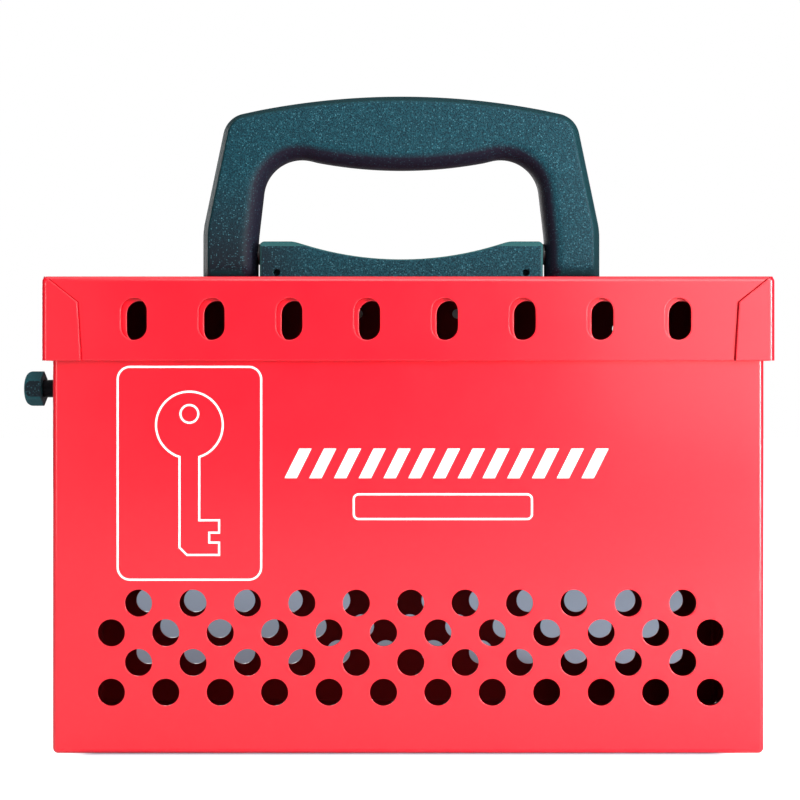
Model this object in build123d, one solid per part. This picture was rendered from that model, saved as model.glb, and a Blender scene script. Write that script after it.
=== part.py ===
"""Group lockout box: a folded sheet steel case whose lid takes a row of padlocks.

The origin is the centre of the case's base. X runs to the right and Y to the back, seen from the
front, and Z runs up. All sizes are in millimetres.

The case is a front, two sides and a bottom folded from one sheet, closed by a flanged back panel.
The lid hangs on a continuous hinge behind the back panel. Its front flange has the same row of
slots as the case wall behind it, so a shackle through both keeps the box shut. A sprung push
button in the left side holds a keyhole catch under the lid while no padlock is on. A moulded
handle folds on a saddle that is screwed to the lid.
"""

import math
import os

from build123d import *

# Case and lid, overall
case_width = 288.0
case_depth = 90.0
box_height = 193.0  # base to the top of the closed lid
sheet = 1.2
bend_radius = 2.2  # outside of every fold
lid_flange_height = 34.0
lid_side_gap = 2.3
lid_front_gap = 1.5
rim_gap = 0.6  # case rim to the underside of the lid
panel_top_gap = 0.5  # back panel's top edge to the hinge leaf above it

# Corner tabs that wrap from the lid's sides over its front flange
tab_width_top = 14.5
tab_width_bottom = 16.0
tab_mitre_drop = 10.5
tab_corner_inset = 1.3

# Padlock slots, and how far the two rows miss each other
slot_width = 10.5
slot_height = 17.0
slot_pitch = 31.3
slot_end_margin = 30.0
slot_below_top = 17.2
lid_slot_shift = -0.9
case_slot_shift = 1.0
case_slot_drop = 1.2

# Perforations of the front and back
hole_diameter = 11.0
hole_pitch = 22.0
hole_row_pitch = 12.0
hole_rows = 4
hole_lowest_z = 25.0
hole_end_margin = 22.0
hole_field_shift = 1.0

# Back panel and its wall fixing holes
panel_flange = 12.0
corner_relief = 9.0
wall_hole_diameter = 6.5
wall_hole_spacing = 196.0
wall_hole_below_top = 18.5

# Continuous hinge
pin_radius = 1.0
running_clearance = 0.05
leaf_thickness = 1.0
hinge_panel_gap = 0.4
lid_leaf_depth = 16.0
knuckle_length = 25.0
knuckle_gap = 0.3
hinge_end_margin = 6.0
knuckle_relief = 0.55
lip_gap = 0.95
lip_below_pin = 0.5
flange_rear_inset = 3.0
pin_head_rim = 0.3
pin_head_length = 0.6

# Blind rivets of the hinge
rivet_diameter = 3.0
rivet_head_diameter = 5.4
rivet_head_height = 0.9
rivet_head_rounding = 0.75
rivet_tail_diameter = 4.4
rivet_tail_height = 1.2
rivet_count = 6
rivet_lip_gap = 0.2  # case rivets' heads to the open lid's lip
leaf_edge_margin = 0.3
lid_rivet_inset = 10.5

# Push button in the left side
button_behind_front = 25.0
button_below_top = 45.5
button_travel = 6.5
button_stop_clearance = 0.3
head_across_corners = 15.0
head_corner_trim = 0.25
head_length = 7.3
head_edge_radius = 1.4
button_shaft_diameter = 7.4
stud_diameter = 5.9
stud_length = 5.0
bush_flange_diameter = 18.0
bush_flange_thickness = 2.2
bush_sleeve_diameter = 13.0
bush_inner_length = 6.8
nut_across_flats = 17.0
nut_thickness = 3.0
collar_diameter = 12.0
collar_length = 4.0
collar_lead = 1.0
tail_diameter = 6.0
tail_beyond_leg = 2.0
turned_chamfer = 0.6
fit_clearance = 0.1  # between the diameters of a fixed piece and its hole
stop_gap = 0.3  # resting gap between a sliding piece and its stop

# Keyhole catch that hangs from the lid
catch_thickness = 1.5
catch_half_width = 8.5
catch_end_below_window = 2.8
catch_foot_length = 13.0
catch_window_clearance = 0.3
catch_slot_clearance = 0.4

# Bracket that guides the button's tail
bracket_thickness = 1.5
bracket_width = 20.0
bracket_leg_x = 30.0  # leg's inner face, from the inside of the side wall
bracket_shelf_drop = 16.5
bracket_foot_height = 20.0
bracket_leg_above = 8.0
bracket_bend = 2.5

# Button spring
spring_wire = 0.9
spring_mean_diameter = 8.6
spring_turns = 6
spring_end_gap = 0.3

# Handle, measured up from the lid's top and out from the middle of the saddle
handle_shift = -2.8
handle_half_opening = 62.0
handle_height = 81.3
handle_depth = 20.0
arm_width = 24.2
shoulder_height = 23.0
shoulder_radius = 33.0
crown_inset = 10.2  # top corners, in from the arms' outer sides
crown_drop = 9.0
crown_corner_radius = 11.0
grip_thickness = 33.0
underside_arch = 5.1  # how far the opening's top corners rise above its middle
opening_inset = 6.0  # top corners of the opening, in from its sides
opening_straight_height = 17.0  # flat faces for the pivots
opening_corner_radius = 17.0
pivot_height = 12.5
arm_end_gap = 1.5
arm_end_radius = 6.5  # lets the arms swing past the lid
outer_edge_radius = 1.6
inner_edge_radius = 5.5

# Saddle between the handle's arms
saddle_gap = 1.5
saddle_depth = 22.0
saddle_end_height = 17.4
saddle_middle_height = 9.6
saddle_shoulder_length = 14.5
saddle_shoulder_radius = 12.0
saddle_top_chamfer = 2.2
saddle_corner_radius = 2.0
saddle_upright_radius = 1.3
saddle_hollow_radius = 0.7
saddle_pocket_inset = 7.3
saddle_pocket_z = 3.9
saddle_pocket_diameter = 3.0
saddle_pocket_depth = 5.0

# Handle pivots and the fixings of the saddle
pivot_diameter = 5.0
pivot_in_saddle = 10.0
pivot_in_arm = 15.0
pivot_chamfer = 0.5
washer_side_gap = 0.2
pivot_washer_diameter = 9.0
screw_diameter = 5.0
screw_hole_clearance = 0.3
inner_screw_x = 18.0
outer_screw_inset = 20.5
screw_head_diameter = 9.0
screw_head_height = 3.2
screw_head_rounding = 1.6
screw_recess_length = 5.0
screw_recess_width = 1.1
screw_recess_depth = 1.3
screw_tip_gap = 0.6
washer_diameter = 10.5
washer_thickness = 1.0
insert_diameter = 6.6
insert_length = 6.5
insert_end_gap = 1.2
backing_thickness = 2.0
backing_overhang = 14.0
backing_width = 20.0

# How far a cutter reaches past the face that it cuts
overcut = 1.0

# Places worked out from the sizes above
half_width = case_width / 2
front_y = -case_depth / 2
back_y = case_depth / 2
lid_under_z = box_height - sheet
case_rim_z = lid_under_z - rim_gap
lid_half_width = half_width + lid_side_gap + sheet
flange_inner_y = front_y - lid_front_gap
flange_outer_y = flange_inner_y - sheet
tab_outer_y = flange_outer_y - sheet
flange_bottom_z = box_height - lid_flange_height
slot_z = box_height - slot_below_top
wall_hole_z = box_height - wall_hole_below_top

knuckle_radius = pin_radius + running_clearance + leaf_thickness
hinge_y = back_y + hinge_panel_gap + knuckle_radius
hinge_z = lid_under_z - knuckle_radius
lip_inner_y = hinge_y + knuckle_radius + lip_gap
lip_outer_y = lip_inner_y + sheet
lip_bottom_z = hinge_z - lip_below_pin
panel_top_z = lid_under_z - leaf_thickness - panel_top_gap
knuckle_count = 2 * int((case_width - 2 * hinge_end_margin) / (2 * knuckle_length) - 0.5) + 1
hinge_length = knuckle_count * knuckle_length
lip_reach = math.hypot(lip_outer_y - hinge_y, box_height - hinge_z)
case_rivet_drop = lip_reach + rivet_lip_gap + rivet_head_diameter / 2
case_leaf_height = case_rivet_drop + rivet_head_diameter / 2 + leaf_edge_margin

button_y = front_y + button_behind_front
button_z = box_height - button_below_top
wall_inner_x = -half_width + sheet
button_radius_from_hinge = math.hypot(hinge_y - button_y, hinge_z - button_z)
button_angle = math.degrees(math.atan2(hinge_z - button_z, hinge_y - button_y))
bush_inner_x = wall_inner_x + bush_inner_length
collar_x = bush_inner_x + stop_gap
leg_face_x = wall_inner_x + bracket_leg_x
catch_x = collar_x + (collar_length - catch_thickness) / 2
head_inner_x = -half_width - bush_flange_thickness - button_travel - button_stop_clearance

handle_half_width = handle_half_opening + arm_width
grip_underside = handle_height - grip_thickness
opening_top = grip_underside + underside_arch
pivot_z = box_height + pivot_height
saddle_half_length = handle_half_opening - saddle_gap
saddle_half_span = saddle_half_length - saddle_shoulder_length
outer_screw_x = saddle_half_length - outer_screw_inset
screw_hole = screw_diameter + screw_hole_clearance


def block(x_low, x_high, y_low, y_high, z_low, z_high):
    """A rectangular block between two corners."""
    middle = ((x_low + x_high) / 2, (y_low + y_high) / 2, (z_low + z_high) / 2)
    return Pos(*middle) * Box(x_high - x_low, y_high - y_low, z_high - z_low)


def rod_x(x_one, x_other, diameter, y, z):
    """A round bar along X between two places, given in either order."""
    length = abs(x_other - x_one)
    return Pos((x_one + x_other) / 2, y, z) * Rot(0, 90, 0) * Cylinder(diameter / 2, length)


def rod_y(y_low, y_high, diameter, x, z):
    """A round bar along Y."""
    return Pos(x, (y_low + y_high) / 2, z) * Rot(90, 0, 0) * Cylinder(diameter / 2, y_high - y_low)


def rod_z(z_low, z_high, diameter, x, y):
    """A round bar along Z."""
    return Pos(x, y, (z_low + z_high) / 2) * Cylinder(diameter / 2, z_high - z_low)


def ring_z(z_low, z_high, diameter, bore, x, y):
    """A washer or sleeve along Z."""
    return rod_z(z_low, z_high, diameter, x, y) - rod_z(z_low - overcut, z_high + overcut, bore, x, y)


def perforations(y_low, y_high):
    """Cutters for the staggered rows of round holes, the longer row lowest."""
    long_row = int((case_width - 2 * hole_end_margin) / hole_pitch) + 1
    cutters = []
    for row in range(hole_rows):
        count = long_row - row % 2
        z = hole_lowest_z + row * hole_row_pitch
        for column in range(count):
            x = hole_field_shift + (column - (count - 1) / 2) * hole_pitch
            cutters.append(rod_y(y_low, y_high, hole_diameter, x, z))
    return cutters


def padlock_slots(y_low, y_high, shift, z):
    """Cutters for the row of upright round-ended slots."""
    count = int((case_width - 2 * slot_end_margin) / slot_pitch) + 1
    face = Plane((0, y_high, 0), x_dir=(1, 0, 0), z_dir=(0, -1, 0))
    outline = Rot(0, 0, 90) * SlotOverall(slot_height, slot_width)
    places = [shift + (i - (count - 1) / 2) * slot_pitch for i in range(count)]
    return [extrude(face * Pos(x, z) * outline, y_high - y_low) for x in places]


def folded_block(x_half, y_low, y_high, z_low, z_high, radius, fold_front, fold_back):
    """A block whose bottom edges and folded upright edges are rounded."""
    solid = block(-x_half, x_half, y_low, y_high, z_low, z_high)
    upright = solid.edges().filter_by(Axis.Z).group_by(Axis.Y)
    low = solid.edges().group_by(Axis.Z)[0]
    along = low.filter_by(Axis.X).sort_by(Axis.Y)
    folds = low.filter_by(Axis.Y)
    if fold_front:
        folds = folds + upright[0] + along[:1]
    if fold_back:
        folds = folds + upright[-1] + along[-1:]
    return fillet(folds, radius)


def folded_tray(x_half, y_low, y_high, z_low, z_high, fold_front, fold_back):
    """A tray of sheet, open at its top and along each long side that has no fold."""
    outside = folded_block(
        x_half, y_low, y_high, z_low, z_high, bend_radius, fold_front, fold_back
    )
    inner_y_low = y_low + sheet if fold_front else y_low - overcut
    inner_y_high = y_high - sheet if fold_back else y_high + overcut
    inside = folded_block(
        x_half - sheet, inner_y_low, inner_y_high, z_low + sheet, z_high + overcut,
        bend_radius - sheet, fold_front, fold_back,
    )
    return outside - inside


def make_case_shell():
    """Front, sides and bottom folded from one sheet, with slots, perforations and button hole."""
    shell = folded_tray(half_width, front_y, back_y, 0, case_rim_z, True, False)
    through = (front_y - overcut, front_y + sheet + overcut)
    shell -= perforations(*through)
    shell -= padlock_slots(*through, case_slot_shift, slot_z - case_slot_drop)
    hole = bush_sleeve_diameter + 2 * fit_clearance
    return shell - rod_x(-half_width - overcut, wall_inner_x + overcut, hole, button_y, button_z)


def rivet_places():
    """X of the rivets, spread along each hinge leaf."""
    pitch = hinge_length / rivet_count
    return [(i - (rivet_count - 1) / 2) * pitch for i in range(rivet_count)]


def make_back_panel():
    """Flanged panel welded between the sides, perforated like the front."""
    half = half_width - sheet
    panel = folded_tray(half, back_y - panel_flange, back_y, sheet, panel_top_z, False, True)
    for x_low in (-half, half - corner_relief):
        panel -= block(
            x_low, x_low + corner_relief, back_y - panel_flange - overcut, back_y - bend_radius,
            sheet, sheet + corner_relief,
        )
    through = (back_y - sheet - overcut, back_y + overcut)
    panel -= perforations(*through)
    for x in (-wall_hole_spacing / 2, wall_hole_spacing / 2):
        panel -= rod_y(*through, wall_hole_diameter, x, wall_hole_z)
    for x in rivet_places():
        panel -= rod_y(*through, rivet_diameter + fit_clearance, x, hinge_z - case_rivet_drop)
    return panel


def add_knuckles(leaf, first, tang_low, tang_high):
    """Rolls every second knuckle on a leaf: a tube round the pin, joined by a tang of the leaf."""
    (y_low, z_low), (y_high, z_high) = tang_low, tang_high
    for i in range(first, knuckle_count, 2):
        x_low = (i - knuckle_count / 2) * knuckle_length + knuckle_gap / 2
        x_high = x_low + knuckle_length - knuckle_gap
        leaf += rod_x(x_low, x_high, 2 * knuckle_radius, hinge_y, hinge_z)
        leaf += block(x_low, x_high, y_low, y_high, z_low, z_high)
    bore = 2 * (pin_radius + running_clearance)
    return leaf - rod_x(-hinge_length, hinge_length, bore, hinge_y, hinge_z)


def make_hinge_leaf_case():
    """Fixed leaf, riveted on the outside of the back panel."""
    outer_y = back_y + leaf_thickness
    leaf_top = hinge_z - knuckle_radius - knuckle_relief
    leaf = block(
        -hinge_length / 2, hinge_length / 2, back_y, outer_y, hinge_z - case_leaf_height, leaf_top
    )
    leaf = add_knuckles(leaf, 0, (back_y, leaf_top), (outer_y, hinge_z))
    hole = rivet_diameter + fit_clearance
    for x in rivet_places():
        leaf -= rod_y(back_y - overcut, outer_y + overcut, hole, x, hinge_z - case_rivet_drop)
    return leaf


def make_hinge_leaf_lid():
    """Moving leaf, riveted under the lid's rear edge."""
    leaf_rear_y = hinge_y - knuckle_radius - knuckle_relief
    leaf_z = lid_under_z - leaf_thickness
    leaf = block(
        -hinge_length / 2, hinge_length / 2, hinge_y - lid_leaf_depth, leaf_rear_y,
        leaf_z, lid_under_z,
    )
    leaf = add_knuckles(leaf, 1, (leaf_rear_y, leaf_z), (hinge_y, lid_under_z))
    hole = rivet_diameter + fit_clearance
    for x in rivet_places():
        leaf -= rod_z(leaf_z - overcut, lid_under_z + overcut, hole, x, hinge_y - lid_rivet_inset)
    return leaf


def make_hinge_pin():
    """Wire pin through all the knuckles, peened into small heads at its ends."""
    half = hinge_length / 2 + knuckle_gap
    pin = rod_x(-half, half, 2 * pin_radius, hinge_y, hinge_z)
    head_diameter = 2 * (pin_radius + running_clearance + pin_head_rim)
    for side in (-1, 1):
        pin += rod_x(
            side * half, side * (half + pin_head_length), head_diameter, hinge_y, hinge_z
        )
    return pin


def rivet(grip):
    """A blind rivet along Z, its rounded head on z = 0 and its tail a grip below."""
    head = rod_z(0, rivet_head_height, rivet_head_diameter, 0, 0)
    head = fillet(head.edges().group_by(Axis.Z)[-1], rivet_head_rounding)
    tail = rod_z(-grip - rivet_tail_height, -grip, rivet_tail_diameter, 0, 0)
    return head + rod_z(-grip, 0, rivet_diameter, 0, 0) + tail


def make_case_rivets():
    """Rivets of the fixed hinge leaf, heads to the back, below the open lid's lip."""
    one = Rot(-90, 0, 0) * rivet(leaf_thickness + sheet)
    y = back_y + leaf_thickness
    z = hinge_z - case_rivet_drop
    return Compound([Pos(x, y, z) * one for x in rivet_places()])


def make_lid_rivets():
    """Rivets of the moving hinge leaf, heads on top of the lid."""
    one = rivet(leaf_thickness + sheet)
    y = hinge_y - lid_rivet_inset
    return Compound([Pos(x, y, box_height) * one for x in rivet_places()])


def lid_front_block(y_low, z_high, radius):
    """A block along the lid's front, its upper front edge rounded."""
    half = lid_half_width - sheet / 2
    solid = block(
        -half, half, y_low, flange_outer_y + 2 * bend_radius, flange_bottom_z, z_high
    )
    top_front = solid.edges().filter_by(Axis.X).group_by(Axis.Z)[-1].sort_by(Axis.Y)[:1]
    return fillet(top_front, radius)


def make_lid_shell():
    """Lid with a slotted front flange, side flanges wrapped over its corners, and a rear lip."""
    tray = folded_tray(
        lid_half_width, tab_outer_y, lip_outer_y, -box_height, -flange_bottom_z, True, True
    )
    lid = mirror(tray, Plane.XY)

    # The front of the wrapped tray is cut back to its two corner tabs
    top_x = lid_half_width - tab_corner_inset
    middle_x = lid_half_width - tab_width_top
    bottom_x = lid_half_width - tab_width_bottom
    mitre_z = box_height - tab_mitre_drop
    above_z = box_height + overcut
    below_z = flange_bottom_z - overcut
    between_tabs = Polyline(
        (-top_x, above_z), (-top_x, box_height), (-middle_x, mitre_z), (-bottom_x, below_z),
        (bottom_x, below_z), (middle_x, mitre_z), (top_x, box_height), (top_x, above_z),
        close=True,
    )
    bend_end_y = flange_outer_y + bend_radius
    front_plane = Plane((0, bend_end_y, 0), x_dir=(1, 0, 0), z_dir=(0, -1, 0))
    lid -= extrude(front_plane * make_face(between_tabs), bend_end_y - tab_outer_y + overcut)

    # The front flange itself, folded down just behind the tabs
    flange = lid_front_block(flange_outer_y, box_height, bend_radius)
    lid += flange - lid_front_block(flange_inner_y, lid_under_z, bend_radius - sheet)

    # The rear wall is cut back to a lip that covers the knuckles and stops the open lid
    lid -= block(
        -case_width, case_width, lip_inner_y - flange_rear_inset, lip_outer_y + overcut,
        below_z, lip_bottom_z,
    )

    lid -= padlock_slots(tab_outer_y - overcut, flange_inner_y + overcut, lid_slot_shift, slot_z)
    through = (lid_under_z - overcut, box_height + overcut)
    for x in rivet_places():
        lid -= rod_z(*through, rivet_diameter + fit_clearance, x, hinge_y - lid_rivet_inset)
    for x in screw_places():
        lid -= rod_z(*through, screw_hole, x, 0)
    return lid


def ring_sector(half_width_of_ring, from_angle, to_angle):
    """Part of a flat ring about the hinge, its middle line through the button's centre."""
    outer = button_radius_from_hinge + half_width_of_ring
    inner = button_radius_from_hinge - half_width_of_ring
    turns = [math.radians(a) for a in (from_angle, (from_angle + to_angle) / 2, to_angle)]
    far = [(outer * math.cos(t), outer * math.sin(t)) for t in turns]
    near = [(inner * math.cos(t), inner * math.sin(t)) for t in turns]
    edges = [
        ThreePointArc(*far), Line(far[2], near[2]),
        ThreePointArc(near[2], near[1], near[0]), Line(near[0], far[0]),
    ]
    return make_face(Curve() + edges)


def make_lid_catch():
    """Keyhole catch: an arched strip about the hinge axis, so it clears everything as it swings."""
    # In this plane the first direction points to the front and the second one down
    hinge_plane = Plane((catch_x, hinge_y, hinge_z), x_dir=(0, -1, 0), z_dir=(1, 0, 0))
    window_radius = collar_diameter / 2 + catch_window_clearance
    slot_half = button_shaft_diameter / 2 + catch_slot_clearance
    below_window = (window_radius + catch_end_below_window) / button_radius_from_hinge
    end_angle = button_angle + math.degrees(below_window)
    past_end = math.degrees(overcut / button_radius_from_hinge)
    outer_radius = button_radius_from_hinge + catch_half_width
    foot_angle = -math.degrees(math.asin(knuckle_radius / outer_radius))

    blade = ring_sector(catch_half_width, foot_angle, end_angle)
    centre_turn = math.radians(button_angle)
    window_centre = (
        button_radius_from_hinge * math.cos(centre_turn),
        button_radius_from_hinge * math.sin(centre_turn),
    )
    blade -= Pos(*window_centre) * Circle(window_radius)
    blade -= ring_sector(slot_half, button_angle, end_angle + past_end)
    catch = extrude(hinge_plane * blade, catch_thickness)
    catch &= block(catch_x, catch_x + catch_thickness, front_y, back_y, 0, lid_under_z)
    foot_y = hinge_y - button_radius_from_hinge
    catch += block(
        catch_x, catch_x + catch_foot_length, foot_y - catch_half_width, foot_y + catch_half_width,
        lid_under_z - catch_thickness, lid_under_z,
    )
    return catch


def make_button_bush():
    """Flanged bush that guides the button through the left side."""
    outer_x = -half_width - bush_flange_thickness
    bush = rod_x(outer_x, -half_width, bush_flange_diameter, button_y, button_z)
    bush = chamfer(bush.edges().group_by(Axis.X)[0], turned_chamfer)
    bush += rod_x(-half_width, bush_inner_x, bush_sleeve_diameter, button_y, button_z)
    bore = button_shaft_diameter + 2 * running_clearance
    return bush - rod_x(outer_x - overcut, bush_inner_x + overcut, bore, button_y, button_z)


def hexagon_x(across_corners, x_low, x_high):
    """A hexagonal bar along X with a corner at its top."""
    plane = Plane((x_low, button_y, button_z), x_dir=(0, 0, 1), z_dir=(1, 0, 0))
    return extrude(plane * RegularPolygon(across_corners / 2, 6), x_high - x_low)


def make_bush_nut():
    """Thin nut that clamps the bush from inside."""
    corners = nut_across_flats / math.cos(math.pi / 6)
    nut_end_x = wall_inner_x + nut_thickness
    nut = hexagon_x(corners, wall_inner_x, nut_end_x)
    bore = bush_sleeve_diameter + fit_clearance
    return nut - rod_x(wall_inner_x - overcut, nut_end_x + overcut, bore, button_y, button_z)


def make_button_head():
    """Moulded hexagonal button, its outer edges rounded, screwed on the shaft's stud."""
    outer_x = head_inner_x - head_length
    head = hexagon_x(head_across_corners, outer_x, head_inner_x)
    head = fillet(head.edges().group_by(Axis.X)[0], head_edge_radius)
    trimmed = head_across_corners - 2 * head_corner_trim
    round_bar = rod_x(outer_x, head_inner_x + overcut, trimmed, button_y, button_z)
    head &= fillet(round_bar.edges().group_by(Axis.X)[0], 2 * head_edge_radius)
    hole = stud_diameter + fit_clearance
    hole_end_x = head_inner_x - stud_length
    return head - rod_x(hole_end_x, head_inner_x + overcut, hole, button_y, button_z)


def make_button_shaft():
    """Turned shaft: stud, guide, locking collar and tail."""
    stud_end_x = head_inner_x - stud_length + stop_gap
    collar_end_x = collar_x + collar_length
    tail_end_x = leg_face_x + bracket_thickness + tail_beyond_leg
    shaft = rod_x(stud_end_x, head_inner_x, stud_diameter, button_y, button_z)
    shaft += rod_x(head_inner_x, collar_x, button_shaft_diameter, button_y, button_z)
    collar = rod_x(collar_x, collar_end_x, collar_diameter, button_y, button_z)
    shaft += chamfer(collar.edges().group_by(Axis.X)[0], collar_lead)
    tail = rod_x(collar_end_x, tail_end_x, tail_diameter, button_y, button_z)
    return shaft + chamfer(tail.edges().group_by(Axis.X)[-1], turned_chamfer)


def make_guide_bracket():
    """Strip bent to a J: welded to the side wall, with the tail's guide hole in its leg."""
    half = bracket_thickness / 2
    shelf_z = button_z - bracket_shelf_drop
    foot_x = wall_inner_x + half
    leg_x = leg_face_x + half
    path = FilletPolyline(
        (foot_x, button_y, shelf_z - bracket_foot_height), (foot_x, button_y, shelf_z),
        (leg_x, button_y, shelf_z), (leg_x, button_y, button_z + bracket_leg_above),
        radius=bracket_bend,
    )
    start = Plane(origin=path @ 0, x_dir=(0, 1, 0), z_dir=path % 0)
    bracket = sweep(start * Rectangle(bracket_width, bracket_thickness), path)
    hole = tail_diameter + 2 * running_clearance
    leg_end_x = leg_face_x + bracket_thickness
    return bracket - rod_x(leg_face_x - overcut, leg_end_x + overcut, hole, button_y, button_z)


def make_button_spring():
    """Compression spring between the collar and the guide bracket."""
    low = collar_x + collar_length + spring_end_gap + spring_wire / 2
    high = leg_face_x - spring_end_gap - spring_wire / 2
    coil = Helix((high - low) / spring_turns, high - low, spring_mean_diameter / 2)
    wire = Plane(origin=coil @ 0, z_dir=coil % 0) * Circle(spring_wire / 2)
    spring = sweep(wire, coil, is_frenet=True)
    return Pos(low, button_y, button_z) * Rot(0, 90, 0) * spring


def screw_places():
    """X of the saddle's four screws."""
    offsets = (-outer_screw_x, -inner_screw_x, inner_screw_x, outer_screw_x)
    return [handle_shift + offset for offset in offsets]


def handle_outline():
    """Front view of the handle's outside, from the lid up, about its own middle."""
    crown_half_width = handle_half_width - crown_inset
    crown_z = handle_height - crown_drop
    outline = make_face(
        Curve() + [
            Line((-handle_half_width, 0), (-handle_half_width, shoulder_height)),
            Line((-handle_half_width, shoulder_height), (-crown_half_width, crown_z)),
            ThreePointArc(
                (-crown_half_width, crown_z), (0, handle_height), (crown_half_width, crown_z)
            ),
            Line((crown_half_width, crown_z), (handle_half_width, shoulder_height)),
            Line((handle_half_width, shoulder_height), (handle_half_width, 0)),
            Line((handle_half_width, 0), (-handle_half_width, 0)),
        ]
    )
    outline = fillet(outline.vertices().group_by(Axis.Y)[-1], crown_corner_radius)
    return fillet(outline.vertices().group_by(Axis.Y)[1], shoulder_radius)


def handle_opening():
    """Front view of the hand opening, its top bulging down between rounded corners."""
    half_top = handle_half_opening - opening_inset
    side_z = opening_straight_height
    opening = make_face(
        Curve() + [
            Line((-handle_half_opening, -overcut), (-handle_half_opening, side_z)),
            Line((-handle_half_opening, side_z), (-half_top, opening_top)),
            ThreePointArc(
                (-half_top, opening_top), (0, grip_underside), (half_top, opening_top)
            ),
            Line((half_top, opening_top), (handle_half_opening, side_z)),
            Line((handle_half_opening, side_z), (handle_half_opening, -overcut)),
            Line((handle_half_opening, -overcut), (-handle_half_opening, -overcut)),
        ]
    )
    return fillet(opening.vertices().group_by(Axis.Y)[-1], opening_corner_radius)


def round_rims(grip, inner, radius):
    """Rounds the long edges round the handle's opening, or the ones round its outside."""
    edges = grip.edges()
    rims = edges - edges.filter_by(Axis.X) - edges.filter_by(Axis.Y)
    inner_x = handle_half_opening + overcut
    inner_z = box_height + opening_top
    outer_x = handle_half_width - 2 * crown_corner_radius
    outer_z = box_height + handle_height - crown_drop

    def chosen(edge):
        middle = edge.center()
        x = abs(middle.X - handle_shift)
        if inner:
            return x < inner_x and middle.Z < inner_z
        return x > outer_x or middle.Z > outer_z

    return fillet(rims.filter_by(chosen), radius)


def make_handle_grip():
    """Moulded handle: an arch, crisp outside and well rounded inside, with rounded arm ends."""
    upright = Plane((handle_shift, 0, box_height), x_dir=(1, 0, 0), z_dir=(0, -1, 0))
    arch = upright * (handle_outline() - handle_opening())
    grip = extrude(arch, handle_depth / 2, both=True)

    # Seen from the side, each arm ends in two round corners below its pivot
    end_z = box_height + arm_end_gap
    side = block(
        -case_width, case_width, -handle_depth / 2, handle_depth / 2, end_z, pivot_z + case_width
    )
    low_edges = side.edges().filter_by(Axis.X).group_by(Axis.Z)[0]
    grip &= fillet(low_edges, arm_end_radius)

    grip = round_rims(grip, True, inner_edge_radius)
    grip = round_rims(grip, False, outer_edge_radius)

    bore = pivot_diameter + 2 * running_clearance
    for side_sign in (-1, 1):
        start = handle_shift + side_sign * (handle_half_opening - overcut)
        end = handle_shift + side_sign * (handle_half_opening + pivot_in_arm + overcut)
        grip -= rod_x(start, end, bore, 0, pivot_z)
    return grip


def saddle_front():
    """Front view of the saddle: rounded shoulders with a hollow between them for the hand."""
    half = saddle_half_length
    outline = make_face(
        Curve() + [
            Line((-half, 0), (-half, saddle_end_height)),
            Line((-half, saddle_end_height), (-saddle_half_span, saddle_end_height)),
            ThreePointArc(
                (-saddle_half_span, saddle_end_height), (0, saddle_middle_height),
                (saddle_half_span, saddle_end_height),
            ),
            Line((saddle_half_span, saddle_end_height), (half, saddle_end_height)),
            Line((half, saddle_end_height), (half, 0)),
            Line((half, 0), (-half, 0)),
        ]
    )
    top = outline.vertices().group_by(Axis.Y)[-1].sort_by(Axis.X)
    outline = fillet([top[0], top[-1]], saddle_corner_radius)
    shoulders = outline.vertices().sort_by(lambda v: abs(abs(v.X) - saddle_half_span))[:2]
    return fillet(shoulders, saddle_shoulder_radius)


def make_handle_saddle():
    """Moulded saddle that carries the handle's pivots: its front, end and top outlines crossed."""
    length = 2 * saddle_half_length
    rear = Plane(
        (handle_shift, saddle_depth / 2, box_height), x_dir=(1, 0, 0), z_dir=(0, -1, 0)
    )
    saddle = extrude(rear * saddle_front(), saddle_depth)
    end_face = Rectangle(saddle_depth, saddle_end_height, align=(Align.CENTER, Align.MIN))
    end_face = chamfer(end_face.vertices().group_by(Axis.Y)[-1], saddle_top_chamfer)
    left_x = handle_shift - saddle_half_length
    left_end = Plane((left_x, 0, box_height), x_dir=(0, 1, 0), z_dir=(1, 0, 0))
    saddle &= extrude(left_end * end_face, length)
    foot = RectangleRounded(length, saddle_depth, saddle_upright_radius)
    saddle &= extrude(Plane((handle_shift, 0, box_height)) * foot, saddle_end_height)
    hollow_edges = saddle.edges().filter_by(GeomType.CIRCLE).sort_by(lambda e: e.radius)[-2:]
    saddle = fillet(hollow_edges, saddle_hollow_radius)

    for x in screw_places():
        top_z = box_height + insert_length + insert_end_gap
        bore = insert_diameter + fit_clearance
        saddle -= rod_z(box_height - overcut, top_z, bore, x, 0)
    for side in (-1, 1):
        outer_x = handle_shift + side * (saddle_half_length + overcut)
        inner_x = handle_shift + side * (saddle_half_length - pivot_in_saddle)
        saddle -= rod_x(outer_x, inner_x, pivot_diameter + fit_clearance / 2, 0, pivot_z)
        x = handle_shift + side * (saddle_half_length - saddle_pocket_inset)
        depth_y = saddle_pocket_depth - saddle_depth / 2
        z = box_height + saddle_pocket_z
        saddle -= rod_y(-saddle_depth, depth_y, saddle_pocket_diameter, x, z)
    return saddle


def make_handle_pivots():
    """Two steel pins held in the saddle, on which the handle turns."""
    pins = []
    for side in (-1, 1):
        inner = handle_shift + side * (saddle_half_length - pivot_in_saddle + stop_gap)
        outer = handle_shift + side * (handle_half_opening + pivot_in_arm)
        pin = rod_x(inner, outer, pivot_diameter, 0, pivot_z)
        pins.append(chamfer(pin.edges().filter_by(GeomType.CIRCLE), pivot_chamfer))
    return Compound(pins)


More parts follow.
